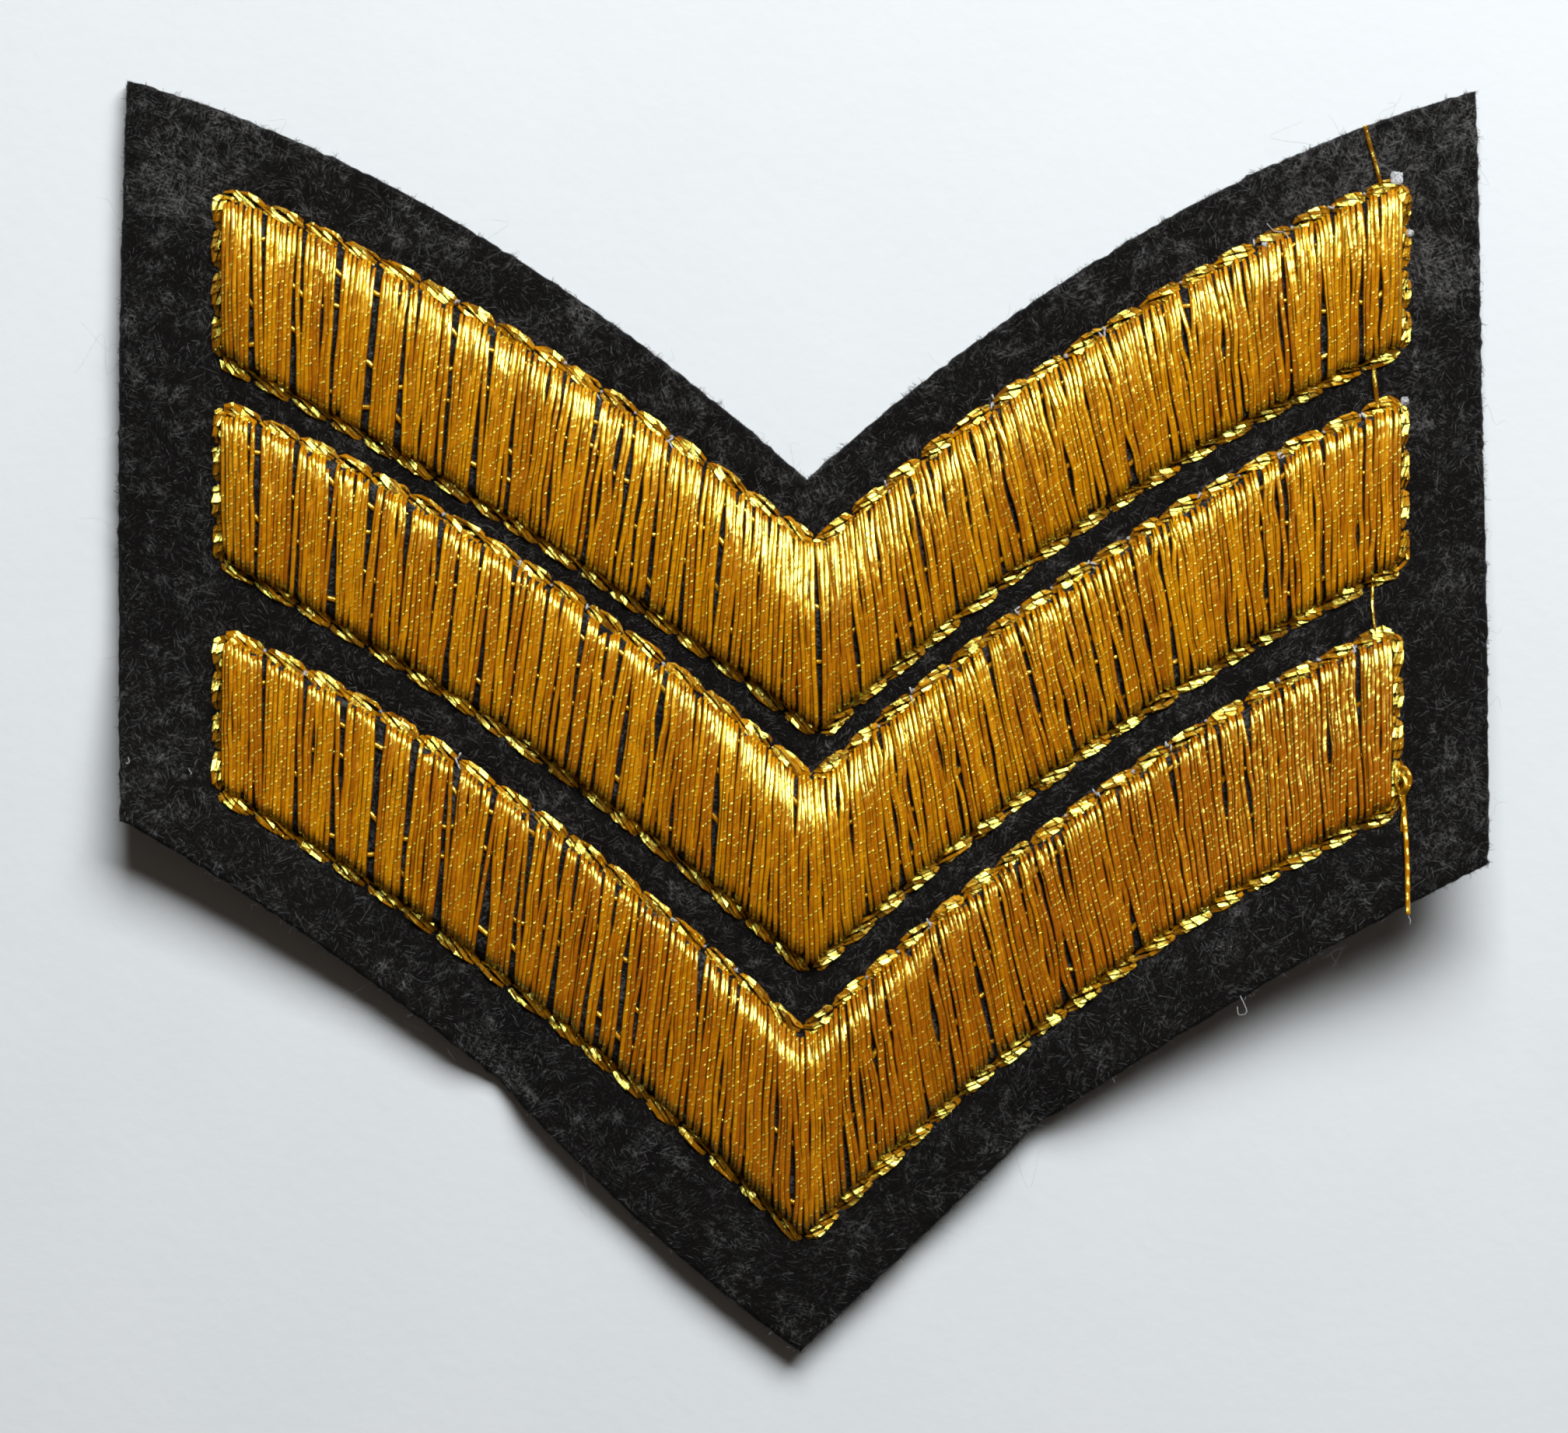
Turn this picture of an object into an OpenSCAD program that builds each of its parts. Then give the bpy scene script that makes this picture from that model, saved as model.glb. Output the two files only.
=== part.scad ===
// Chevron rank patch: three padded bars of satin stitch, each with a stitched
// edge, on a cut felt backing that lies on a table with its lower corners lifted.
// Millimetres. +X is to the right, +Y is to the open side of the chevron, +Z is up.

/* [Felt backing] */
// Thickness of the felt
felt_t = 1.6; // [1:0.1:3]
// Rounding of the felt's cut rim
felt_rim = 0.4; // [0.1:0.05:0.5]
// Outward bow of the left edge
bow_left = 0.45; // [0:0.05:1]
// Outward bow of the right edge
bow_right = 0.3; // [0:0.05:1]
// Depth of the pinched place at each notch of the lower edge
pinch_depth = 0.8; // [0:0.1:0.9]
// Reach of the pinched place
pinch_reach = 2.5; // [1:0.5:5]

/* [Lifted corners] */
// Lift of the lower left corner over the fold beside its margin
lift_left = 1.9; // [0:0.1:4]
// Further lift of the lower left corner over a wider fold
wide_left = 0.5; // [0:0.1:2]
// Lift of the lower right corner over its main fold
lift_right = 4.8; // [0:0.2:7]
// Further lift of the last part of the lower right corner
curl_right = 0.6; // [0:0.1:2]
// Lift of the bottom tip off the table
lift_tip = 0.3; // [0:0.1:2]
// Softness of the folds, as a share of each fold's reach
fold_soft = 0.2; // [0.1:0.05:0.4]
// How much the lift flattens towards the corner
fold_flatten = 0.3; // [0:0.05:0.4]

/* [Bars] */
// Height of a padded bar above the felt
bar_h = 1.3; // [0.8:0.1:2]
// Height of a bar's side, where the satin turns down to the felt
bar_side = 0.35; // [0.2:0.05:0.6]
// Squareness of a bar's section, from 2 for round
bar_square = 3; // [2:0.5:6]
// Length over which a bar's end slopes down
bar_end = 1.6; // [1:0.1:3]
// Radius of a bar's corners
bar_corner = 0.8; // [0.5:0.1:1.5]
// Half length of the soft turn at the point of each chevron
point_r = 0.8; // [0.5:0.1:3]

/* [Borders] */
// Width of the stitched edge
border_w = 0.75; // [0.4:0.05:1]
// Height of the stitched edge
border_h = 0.6; // [0.3:0.05:0.9]
// Length of the cut at each rounded corner of the stitched edge
border_corner = 0.9; // [0.6:0.1:1.4]

/* [Fit] */
// Gap kept between two pieces
gap = 0.15; // [0.1:0.05:0.3]

/* [Hidden] */

felt_colour = [0.09, 0.09, 0.1];
gold_colour = [0.78, 0.55, 0.1];
border_colour = [0.88, 0.66, 0.16];

// An edge is a row of knots from left to right with the columns [x, y, rise].
// rise is how far the arc to the next knot stands above its straight chord.
KNOT_X = 0;
KNOT_Y = 1;
RISE = 2;

felt_top_edge = [[-43.3, 40.9, 3.3], [0.4, 15.2, 3.3], [43.5, 40.2, 0]];
felt_low_edge = [
    [-43.5, -6.7, 0.8],
    [-19.4, -23.5, -0.9],
    [0, -40.9, -0.1],
    [15.1, -26.5, 0.6],
    [43.7, -9.4, 0],
];

// A bar has the columns [upper edge, lower edge], measured outside its border.
UPPER = 0;
LOWER = 1;
top_bar = [
    [[-37.7, 34.4, 1.9], [1, 11.4, 2.3], [39.2, 35, 0]],
    [[-37.7, 22.6, 1.3], [1.3, -1.8, 2.4], [39.2, 23.3, 0]],
];
middle_bar = [
    [[-37.7, 20.6, 2.1], [0.8, -3.7, 2.3], [39.1, 21, 0]],
    [[-37.7, 9.6, 1.8], [0.7, -17, 2.1], [39.1, 9.3, 0]],
];
bottom_bar = [
    [[-37.7, 6, 2.4], [0.2, -20.1, 2.4], [38.5, 6.2, 0]],
    [[-37.7, -5.2, 2], [0.3, -34.4, 2.7], [38.5, -6.2, 0]],
];

// A fold has the columns [start of its line, end of its line, lifted corner, lift].
FOLD_START = 0;
FOLD_END = 1;
FOLD_CORNER = 2;
FOLD_LIFT = 3;
left_notch = [felt_low_edge[1][KNOT_X], felt_low_edge[1][KNOT_Y]];
right_notch = [felt_low_edge[3][KNOT_X], felt_low_edge[3][KNOT_Y]];
beside_right_notch = [9.5, -32];
folds = [
    [[-18, -25], [-43.5, 5], [-43.5, -6.7], lift_left],
    [left_notch, [-43.5, 14], [-43.5, -6.7], wide_left],
    [beside_right_notch, [43.7, 20], [43.7, -9.4], lift_right],
    [[35, -14.5], [43.7, 0], [43.7, -9.4], curl_right],
    [left_notch, beside_right_notch, [0, -40.9], lift_tip],
];

// Steps of the meshes
column_steps = [15, 13, 10, 18];
felt_rows = 17;
wing_steps = 15;
section_steps = 8;
base_steps = 4;
border_sides = 8;
border_wing_steps = 14;
mean_column = 50;
slope_step = 0.05;
// The bow of a side edge fades inwards as this power of the column's share
bow_fade = 6;

function mix(a, b, u) = a + (b - a) * u;
function cross_z(a, b) = a[0] * b[1] - a[1] * b[0];

// Height of an edge at x, on the arcs between its knots
function edge_part(edge, x, i = 0) =
    i >= len(edge) - 2 || x <= edge[i + 1][KNOT_X] ? i : edge_part(edge, x, i + 1);
function edge_y(edge, x) =
    let (
        i = edge_part(edge, x),
        u = (x - edge[i][KNOT_X]) / (edge[i + 1][KNOT_X] - edge[i][KNOT_X])
    )
    mix(edge[i][KNOT_Y], edge[i + 1][KNOT_Y], u) + 4 * edge[i][RISE] * u * (1 - u);

// A bar's edge turns softly at its middle knot, the point of the chevron
function point_x(edge) = edge[1][KNOT_X];
function point_slope(edge) =
    (edge_y(edge, point_x(edge) + point_r) - edge_y(edge, point_x(edge))) / point_r;
function soft_y(edge, x) =
    let (d = max(0, point_r - abs(x - point_x(edge))))
    edge_y(edge, x) + point_slope(edge) * d * d / (2 * point_r);
function slant(edge, x) =
    let (rise = soft_y(edge, x + slope_step) - soft_y(edge, x - slope_step))
    norm([2 * slope_step, rise]) / (2 * slope_step);
function inset_y(bar, side, x, d) =
    soft_y(bar[side], x) + (side == UPPER ? -d : d) * slant(bar[side], x);

// Lift of the felt's underside off the table at a point
function ramp(t) = t < -fold_soft ? 0 : t < fold_soft ? pow(t + fold_soft, 2) / (4 * fold_soft) : t;
function fold_share(fold, p) =
    cross_z(fold[FOLD_END] - fold[FOLD_START], p - fold[FOLD_START])
    / cross_z(fold[FOLD_END] - fold[FOLD_START], fold[FOLD_CORNER] - fold[FOLD_START]);
function fold_lift(fold, p) =
    let (r = ramp(fold_share(fold, p)))
    fold[FOLD_LIFT] * r * (1 + fold_flatten - fold_flatten * r);
function total(list, i = 0) = i < len(list) ? list[i] + total(list, i + 1) : 0;
function lift(p) = total([for (fold = folds) fold_lift(fold, p)]);

function pinch_at(p, notch) = pinch_depth * exp(-pow(norm(p - notch) / pinch_reach, 2));
function felt_top(p) = lift(p) + felt_t - pinch_at(p, left_notch) - pinch_at(p, right_notch);

function quad(a, b, c, d) = [[a, b, c], [a, c, d]];

// The felt is a grid of columns from the lower edge to the upper edge. A column's
// share runs from -1 at the left edge over 0 at the point to 1 at the right edge.
function share_x(edge, middle, share) =
    share < 0
    ? mix(edge[middle][KNOT_X], edge[0][KNOT_X], -share)
    : mix(edge[middle][KNOT_X], edge[len(edge) - 1][KNOT_X], share);
LOW_MIDDLE = 2;
TOP_MIDDLE = 1;
half_width = felt_low_edge[4][KNOT_X];
rim_column = felt_rim / half_width;
rim_row = felt_rim / mean_column;
column_knots = [
    -1 + rim_column,
    left_notch[0] / half_width,
    0,
    right_notch[0] / half_width,
    1 - rim_column,
];
columns = concat(
    [-1],
    [for (k = [0:3], i = [0:column_steps[k] - 1])
        mix(column_knots[k], column_knots[k + 1], i / column_steps[k])],
    [1 - rim_column, 1]
);
rows = concat([0], [for (j = [0:felt_rows]) mix(rim_row, 1 - rim_row, j / felt_rows)], [1]);

function bow(share, v) =
    4 * v * (1 - v) * pow(abs(share), bow_fade) * (share < 0 ? -bow_left : bow_right);
function felt_point(share, v) =
    let (
        x_low = share_x(felt_low_edge, LOW_MIDDLE, share),
        x_top = share_x(felt_top_edge, TOP_MIDDLE, share)
    )
    [
        mix(x_low, x_top, v) + bow(share, v),
        mix(edge_y(felt_low_edge, x_low), edge_y(felt_top_edge, x_top), v),
    ];

module felt_backing() {
    nu = len(columns);
    nv = len(rows);
    grid = [for (share = columns, v = rows) felt_point(share, v)];
    on_rim = [for (i = [0:nu - 1], j = [0:nv - 1]) i == 0 || i == nu - 1 || j == 0 || j == nv - 1];
    upper = [for (k = [0:nu * nv - 1])
        [grid[k][0], grid[k][1], felt_top(grid[k]) - (on_rim[k] ? felt_rim : 0)]];
    lower = [for (p = grid) [p[0], p[1], lift(p)]];
    under = nu * nv;
    rim = concat(
        [for (i = [0:nu - 1]) i * nv],
        [for (j = [1:nv - 1]) (nu - 1) * nv + j],
        [for (i = [nu - 2:-1:0]) i * nv + nv - 1],
        [for (j = [nv - 2:-1:1]) j]
    );
    faces = concat(
        [for (i = [0:nu - 2], j = [0:nv - 2])
            each quad(i * nv + j, i * nv + j + 1, (i + 1) * nv + j + 1, (i + 1) * nv + j)],
        [for (i = [0:nu - 2], j = [0:nv - 2])
            each quad(under + i * nv + j, under + (i + 1) * nv + j,
                under + (i + 1) * nv + j + 1, under + i * nv + j + 1)],
        [for (k = [0:len(rim) - 1])
            let (a = rim[k], b = rim[(k + 1) % len(rim)])
            each quad(a, b, under + b, under + a)]
    );
    color(felt_colour) polyhedron(points = concat(upper, lower), faces = faces, convexity = 8);
}

// A bar is lofted through sections of constant x, close together at its ends and point
bar_inset = border_w + gap;
end_steps = [0, 0.3, 0.6, 1, 1.6];
function bar_slices(bar) =
    let (
        x_left = bar[UPPER][0][KNOT_X] + bar_inset,
        x_right = bar[UPPER][2][KNOT_X] - bar_inset,
        x_point = (point_x(bar[UPPER]) + point_x(bar[LOWER])) / 2,
        near = end_steps[len(end_steps) - 1]
    )
    concat(
        [for (d = end_steps) x_left + d],
        [for (i = [1:wing_steps]) mix(x_left + near, x_point - point_r, i / wing_steps)],
        [x_point - point_r / 2, x_point, x_point + point_r / 2],
        [for (i = [0:wing_steps - 1]) mix(x_point + point_r, x_right - near, i / wing_steps)],
        [for (i = [len(end_steps) - 1:-1:0]) x_right - end_steps[i]]
    );
function dome(u) = pow(max(0, 1 - pow(abs(u), bar_square)), 1 / bar_square);
function corner_cut(d) =
    d >= bar_corner ? 0 : bar_corner - sqrt(pow(bar_corner, 2) - pow(bar_corner - d, 2));
function bar_section(bar, x, d) =
    let (
        y_low = inset_y(bar, LOWER, x, bar_inset) + corner_cut(d),
        y_top = inset_y(bar, UPPER, x, bar_inset) - corner_cut(d),
        end_share = d >= bar_end ? 1 : dome(1 - d / bar_end)
    )
    concat(
        [for (j = [0:section_steps])
            let (
                u = -cos(180 * j / section_steps),
                y = mix(y_low, y_top, (1 + u) / 2),
                z = bar_side + (bar_h - bar_side) * dome(u) * end_share
            )
            [x, y, felt_top([x, y]) + gap + z]],
        [for (j = [0:base_steps])
            let (y = mix(y_top, y_low, j / base_steps))
            [x, y, felt_top([x, y]) + gap]]
    );

module bar(bar) {
    slices = bar_slices(bar);
    last = len(slices) - 1;
    sides = section_steps + base_steps + 2;
    sections = [for (x = slices) bar_section(bar, x, min(x - slices[0], slices[last] - x))];
    centres = [for (i = [0, last]) (sections[i][0] + sections[i][section_steps + 1]) / 2];
    points = concat([for (section = sections) each section], centres);
    first_centre = (last + 1) * sides;
    faces = concat(
        [for (i = [0:last - 1], j = [0:sides - 1])
            let (k = (j + 1) % sides)
            each quad(i * sides + j, i * sides + k, (i + 1) * sides + k, (i + 1) * sides + j)],
        [for (j = [0:sides - 1]) [first_centre, (j + 1) % sides, j]],
        [for (j = [0:sides - 1])
            [first_centre + 1, last * sides + j, last * sides + (j + 1) % sides]]
    );
    color(gold_colour) polyhedron(points = points, faces = faces, convexity = 6);
}

// A border is a flat cord swept along a closed path round its bar
function border_side(bar, side) =
    let (
        d = border_w / 2,
        x_left = bar[side][0][KNOT_X] + d + border_corner,
        x_right = bar[side][2][KNOT_X] - d - border_corner,
        x_mid = point_x(bar[side]),
        xs = concat(
            [for (i = [0:border_wing_steps]) mix(x_left, x_mid - point_r, i / border_wing_steps)],
            [x_mid - point_r / 2, x_mid, x_mid + point_r / 2],
            [for (i = [0:border_wing_steps]) mix(x_mid + point_r, x_right, i / border_wing_steps)]
        )
    )
    [for (x = xs) [x, inset_y(bar, side, x, d)]];
function corner_point(bar, side, x_edge, inward) =
    let (
        c = [x_edge, inset_y(bar, side, x_edge, border_w / 2)],
        along_edge = [x_edge + inward, inset_y(bar, side, x_edge + inward, border_w / 2)],
        along_end = c + [0, side == UPPER ? -border_corner : border_corner]
    )
    [along_edge, (along_edge + 2 * c + along_end) / 4, along_end];
function border_path(bar) =
    let (
        x_left = bar[UPPER][0][KNOT_X] + border_w / 2,
        x_right = bar[UPPER][2][KNOT_X] - border_w / 2,
        upper = border_side(bar, UPPER),
        lower = border_side(bar, LOWER),
        top_right = corner_point(bar, UPPER, x_right, -border_corner),
        low_right = corner_point(bar, LOWER, x_right, -border_corner),
        top_left = corner_point(bar, UPPER, x_left, border_corner),
        low_left = corner_point(bar, LOWER, x_left, border_corner)
    )
    concat(
        upper,
        [top_right[1], top_right[2], (top_right[2] + low_right[2]) / 2, low_right[2], low_right[1]],
        [for (i = [len(lower) - 1:-1:0]) lower[i]],
        [low_left[1], low_left[2], (low_left[2] + top_left[2]) / 2, top_left[2], top_left[1]]
    );

module border(bar) {
    path = border_path(bar);
    n = len(path);
    m = border_sides;
    points = [for (i = [0:n - 1])
        let (
            before = path[(i + n - 1) % n],
            after = path[(i + 1) % n],
            along = (after - before) / norm(after - before),
            across = [along[1], -along[0], 0],
            middle = [path[i][0], path[i][1], felt_top(path[i]) + gap + border_h / 2]
        )
        for (j = [0:m - 1])
            middle + across * border_w / 2 * cos(360 * j / m) + [0, 0, border_h / 2 * sin(360 * j / m)]];
    faces = [for (i = [0:n - 1], j = [0:m - 1])
        let (i2 = (i + 1) % n, j2 = (j + 1) % m)
        each quad(i * m + j, i * m + j2, i2 * m + j2, i2 * m + j)];
    color(border_colour) polyhedron(points = points, faces = faces, convexity = 8);
}

module bar_top() bar(top_bar);
module bar_middle() bar(middle_bar);
module bar_bottom() bar(bottom_bar);
module border_top() border(top_bar);
module border_middle() border(middle_bar);
module border_bottom() border(bottom_bar);

felt_backing();
bar_top();
bar_middle();
bar_bottom();
border_top();
border_middle();
border_bottom();
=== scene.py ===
"""Looks of a chevron rank patch that lies face up on a pale floor: padded satin bars of
metallised thread, their stitched edges and loose threads, on a cut black felt backing."""

import functools
import math

import bpy
import numpy as np
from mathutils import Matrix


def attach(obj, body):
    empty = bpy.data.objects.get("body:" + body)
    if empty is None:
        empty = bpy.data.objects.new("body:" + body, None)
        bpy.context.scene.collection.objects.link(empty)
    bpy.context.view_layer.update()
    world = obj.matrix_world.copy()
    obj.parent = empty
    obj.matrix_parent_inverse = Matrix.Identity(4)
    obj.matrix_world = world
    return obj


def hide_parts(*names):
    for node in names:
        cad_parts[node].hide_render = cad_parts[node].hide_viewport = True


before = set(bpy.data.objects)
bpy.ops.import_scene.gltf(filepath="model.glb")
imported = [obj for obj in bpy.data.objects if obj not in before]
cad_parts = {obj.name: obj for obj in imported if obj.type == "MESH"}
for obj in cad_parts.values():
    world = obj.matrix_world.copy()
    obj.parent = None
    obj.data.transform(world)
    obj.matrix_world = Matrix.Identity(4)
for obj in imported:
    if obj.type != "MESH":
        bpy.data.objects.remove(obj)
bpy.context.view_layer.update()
scene = bpy.context.scene

MM = 0.001

# Sizes of the part in millimetres, as its solids have them
FELT_T = 1.6
FELT_RIM = 0.4
BOW_LEFT = 0.45
BOW_RIGHT = 0.3
BOW_FADE = 6
PINCH_DEPTH = 0.8
PINCH_REACH = 2.5
FOLD_SOFT = 0.2
FOLD_FLATTEN = 0.3
BAR_H = 1.3
BAR_END = 1.6
BAR_CORNER = 0.8
POINT_R = 0.8
BORDER_W = 0.75
BORDER_CORNER = 0.9
GAP = 0.15

# An edge is a row of knots from left to right with the columns x, y and rise, which is
# how far the arc to the next knot stands above its straight chord
FELT_TOP_EDGE = [[-43.3, 40.9, 3.3], [0.4, 15.2, 3.3], [43.5, 40.2, 0]]
FELT_LOW_EDGE = [
    [-43.5, -6.7, 0.8],
    [-19.4, -23.5, -0.9],
    [0, -40.9, -0.1],
    [15.1, -26.5, 0.6],
    [43.7, -9.4, 0],
]
# A bar has an upper and a lower edge
UPPER = 0
LOWER = 1
BARS = {
    "top": [
        [[-37.7, 34.4, 1.9], [1, 11.4, 2.3], [39.2, 35, 0]],
        [[-37.7, 22.6, 1.3], [1.3, -1.8, 2.4], [39.2, 23.3, 0]],
    ],
    "middle": [
        [[-37.7, 20.6, 2.1], [0.8, -3.7, 2.3], [39.1, 21, 0]],
        [[-37.7, 9.6, 1.8], [0.7, -17, 2.1], [39.1, 9.3, 0]],
    ],
    "bottom": [
        [[-37.7, 6, 2.4], [0.2, -20.1, 2.4], [38.5, 6.2, 0]],
        [[-37.7, -5.2, 2], [0.3, -34.4, 2.7], [38.5, -6.2, 0]],
    ],
}

LEFT_NOTCH = FELT_LOW_EDGE[1][:2]
RIGHT_NOTCH = FELT_LOW_EDGE[3][:2]
BESIDE_RIGHT_NOTCH = [9.5, -32]
# A fold has the columns start, end, lifted corner and lift
FOLDS = [
    [[-18, -25], [-43.5, 5], [-43.5, -6.7], 1.9],
    [LEFT_NOTCH, [-43.5, 14], [-43.5, -6.7], 0.5],
    [BESIDE_RIGHT_NOTCH, [43.7, 20], [43.7, -9.4], 4.8],
    [[35, -14.5], [43.7, 0], [43.7, -9.4], 0.6],
    [LEFT_NOTCH, BESIDE_RIGHT_NOTCH, [0, -40.9], 0.3],
]


def mix(a, b, u):
    return a + (b - a) * u


def rounding(distance, radius):
    """How far a rounded rim falls back at a distance from its edge."""
    d = np.clip(radius - distance, 0, radius)
    return radius - np.sqrt(radius**2 - d**2)


def bar_ends(bar, inset=0):
    """Left and right end of a bar, moved inwards by inset."""
    return bar[UPPER][0][0] + inset, bar[UPPER][2][0] - inset


def edge_y(edge, x):
    """Height of an edge at x, on the arcs between its knots."""
    knots = np.array(edge, float)
    i = np.clip(np.searchsorted(knots[:, 0], x) - 1, 0, len(knots) - 2)
    a, b = knots[i], knots[i + 1]
    u = (x - a[..., 0]) / (b[..., 0] - a[..., 0])
    return mix(a[..., 1], b[..., 1], u) + 4 * a[..., 2] * u * (1 - u)


def soft_y(edge, x):
    """A bar's edge, which turns softly at its middle knot."""
    x_point = edge[1][0]
    slope = (edge_y(edge, x_point + POINT_R) - edge_y(edge, x_point)) / POINT_R
    d = np.maximum(0, POINT_R - np.abs(x - x_point))
    return edge_y(edge, x) + slope * d * d / (2 * POINT_R)


def slant(edge, x):
    """How much longer an edge is than its run along x."""
    step = 0.05
    rise = soft_y(edge, x + step) - soft_y(edge, x - step)
    return np.hypot(2 * step, rise) / (2 * step)


def inset_y(bar, side, x, d):
    """Height of a bar's edge moved inwards by d."""
    return soft_y(bar[side], x) + (-d if side == UPPER else d) * slant(bar[side], x)


def ramp(t):
    """Zero below t = 0 and t above it, with a soft turn between."""
    soft = (t + FOLD_SOFT) ** 2 / (4 * FOLD_SOFT)
    return np.where(t < -FOLD_SOFT, 0, np.where(t < FOLD_SOFT, soft, t))


def lift(x, y):
    """Lift of the felt's underside off the floor."""
    total = 0
    for start, end, corner, height in FOLDS:
        ex, ey = end[0] - start[0], end[1] - start[1]
        whole = ex * (corner[1] - start[1]) - ey * (corner[0] - start[0])
        r = ramp((ex * (y - start[1]) - ey * (x - start[0])) / whole)
        total = total + height * r * (1 + FOLD_FLATTEN - FOLD_FLATTEN * r)
    return total


def felt_top(x, y):
    """Height of the felt's upper face, pinched at the notches."""
    pinch = 0
    for notch in (LEFT_NOTCH, RIGHT_NOTCH):
        reach = np.hypot(x - notch[0], y - notch[1]) / PINCH_REACH
        pinch = pinch + PINCH_DEPTH * np.exp(-(reach**2))
    return lift(x, y) + FELT_T - pinch


def waves(seed, shortest, longest):
    """A smooth random field of x and y, made of plane waves, that mostly stays within -2 to 2."""
    count = 48
    dice = np.random.default_rng(seed)
    length = np.exp(dice.uniform(math.log(shortest), math.log(longest), count))
    angle = dice.uniform(0, 2 * math.pi, count)
    phase = dice.uniform(0, 2 * math.pi, count)
    kx = 2 * math.pi * np.cos(angle) / length
    ky = 2 * math.pi * np.sin(angle) / length

    def field(x, y):
        turn = np.asarray(x)[..., None] * kx + np.asarray(y)[..., None] * ky + phase
        return np.cos(turn).sum(-1) * math.sqrt(2 / count)

    return field


def outside(bar, x, y):
    """About how far a point lies outside a bar's outline, negative inside it."""
    above = (y - soft_y(bar[UPPER], x)) / slant(bar[UPPER], x)
    below = (soft_y(bar[LOWER], x) - y) / slant(bar[LOWER], x)
    left, right = bar_ends(bar)
    return np.maximum(np.maximum(above, below), np.maximum(left - x, x - right))


# Meshes from arrays

NO_TRIS = np.empty((0, 3), int)


def add(name, data):
    obj = bpy.data.objects.new(name, data)
    scene.collection.objects.link(obj)
    return obj


def build(name, points, quads, tris, material, uv=None, tone=None, soft=True):
    """A mesh object from points in millimetres and from the corners of its faces."""
    mesh = bpy.data.meshes.new(name)
    mesh.vertices.add(len(points))
    mesh.vertices.foreach_set("co", (points * MM).astype(np.float32).ravel())
    corners = np.concatenate([quads.ravel(), tris.ravel()]).astype(np.int32)
    sizes = np.repeat([4, 3], [len(quads), len(tris)])
    starts = (np.cumsum(sizes) - sizes).astype(np.int32)
    mesh.loops.add(len(corners))
    mesh.loops.foreach_set("vertex_index", corners)
    mesh.polygons.add(len(starts))
    mesh.polygons.foreach_set("loop_start", starts)
    mesh.polygons.foreach_set("use_smooth", np.full(len(starts), soft))
    if uv is not None:
        mesh.uv_layers.new(name="thread").data.foreach_set("uv", uv.astype(np.float32).ravel())
    if tone is not None:
        attribute = mesh.attributes.new("tone", "FLOAT", "POINT")
        attribute.data.foreach_set("value", tone.astype(np.float32).ravel())
    mesh.update(calc_edges=True)
    mesh.validate()
    mesh.materials.append(material)
    return add(name, mesh)


def skin(sections, first_tips, last_tips):
    """Closed tubes through sections (tube, ring, side, xyz), ending in tips (tube, xyz).
    Returns points, quads and tris."""
    count, rings, sides, _ = sections.shape
    points = np.concatenate(
        [sections.reshape(count, -1, 3), first_tips[:, None], last_tips[:, None]], axis=1
    ).reshape(-1, 3)
    base = np.arange(count)[:, None, None] * (rings * sides + 2)
    r = np.arange(rings - 1)[:, None] * sides
    j = np.arange(sides)
    j2 = (j + 1) % sides
    quads = np.stack([r + j, r + sides + j, r + sides + j2, r + j2], -1)
    quads = (base[..., None] + quads).reshape(-1, 4)
    last = (rings - 1) * sides
    tip = np.full(sides, rings * sides)
    tris = np.concatenate(
        [np.stack([tip, j, j2], -1), np.stack([tip + 1, last + j2, last + j], -1)]
    )
    return points, quads, (base + tris).reshape(-1, 3)


def corner_uv(shape, *corners):
    """UV of an array of faces, from the u and the v of each of their corners."""
    return np.stack(
        [np.stack([np.broadcast_to(a, shape) for a in corner], -1) for corner in corners], -2
    )


def thread_uv(along, sides):
    """UV of tubes from skin(): u goes once round a tube, v is along (tube, ring)."""
    count, rings = along.shape
    u = (np.arange(sides) + 0.5) / sides
    u2 = u + 1 / sides
    middle = (u + u2) / 2
    v, v2 = along[:, :-1, None], along[:, 1:, None]
    quads = corner_uv((count, rings - 1, sides), (u, v), (u, v2), (u2, v2), (u2, v))
    shape, start, end = (count, sides), along[:, :1], along[:, -1:]
    first = corner_uv(shape, (middle, start), (u, start), (u2, start))
    last = corner_uv(shape, (middle, end), (u2, end), (u, end))
    tris = np.stack([first, last], 1)
    return np.concatenate([quads.reshape(-1, 2), tris.reshape(-1, 2)])


def unit(v):
    return v / np.maximum(np.linalg.norm(v, axis=-1, keepdims=True), 1e-9)


def run_length(paths):
    """Length of each path (tube, ring, xyz) up to each of its rings."""
    steps = np.linalg.norm(np.diff(paths, axis=1), axis=-1)
    return np.pad(np.cumsum(steps, axis=1), ((0, 0), (1, 0)))


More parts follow.
